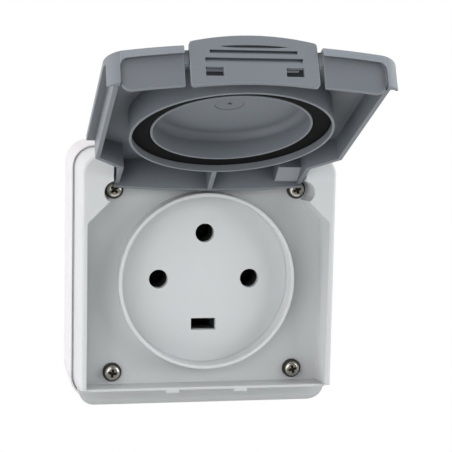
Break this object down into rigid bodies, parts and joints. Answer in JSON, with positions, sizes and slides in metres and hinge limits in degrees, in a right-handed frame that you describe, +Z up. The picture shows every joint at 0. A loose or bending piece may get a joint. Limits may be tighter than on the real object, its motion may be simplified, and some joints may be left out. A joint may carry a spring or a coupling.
{
  "type": "outdoor weatherproof socket",
  "caption": "Square surface-mounted outdoor socket with a round recessed face, pin holes, a raised sealing rim and a hinged grey lid with gasket and snap latch.",
  "frame": {"origin": "where the socket's axis meets the wall, at the middle of the box's back face", "axes": "+X to the right seen from the front, +Y into the wall, +Z up"},
  "size_m": [0.0964, 0.1305, 0.1414],
  "materials": {
    "housing_grey": "fine textured moulding",
    "lid_grey": "fine textured moulding",
    "seal_black": "matt moulded rubber",
    "seal_grey": "matt moulded rubber",
    "plastic_black": "matt moulding",
    "steel": "plated",
    "brass": "dulled"
  },
  "bodies": {
    "housing": {"back_box": "housing_grey", "box_seal": "seal_grey", "cable_grommet": "seal_grey", "front_cover": "housing_grey", "cover_screws": "steel", "screw_washers": "seal_black", "socket_face": "housing_grey", "face_seal": "seal_black", "contact_carrier": "plastic_black", "carrier_screws": "steel", "contact_top": "brass", "contact_left": "brass", "contact_right": "brass", "earth_contact": "brass", "terminal_screws": "steel", "wire_clamps": "steel", "hinge_pin_left": "plastic_black", "hinge_pin_right": "plastic_black"},
    "lid": {"lid": "lid_grey", "lid_gasket": "seal_black", "latch_pins": "steel"},
    "latch": {"latch": "lid_grey"}
  },
  "joints": [
    {"name": "lid_hinge", "type": "hinge", "parent": "housing", "child": "lid", "pos_m": [0, -0.0534, 0.04133], "axis": [1, 0, 0], "range_deg": [0, 116.14]},
    {"name": "latch_pivot", "type": "hinge", "parent": "lid", "child": "latch", "pos_m": [0, -0.12381, 0.08156], "axis": [1, 0, 0], "range_deg": [-11, 0], "stiffness_Nm_per_rad": 0.1, "springref_deg": 2.86}
  ]
}
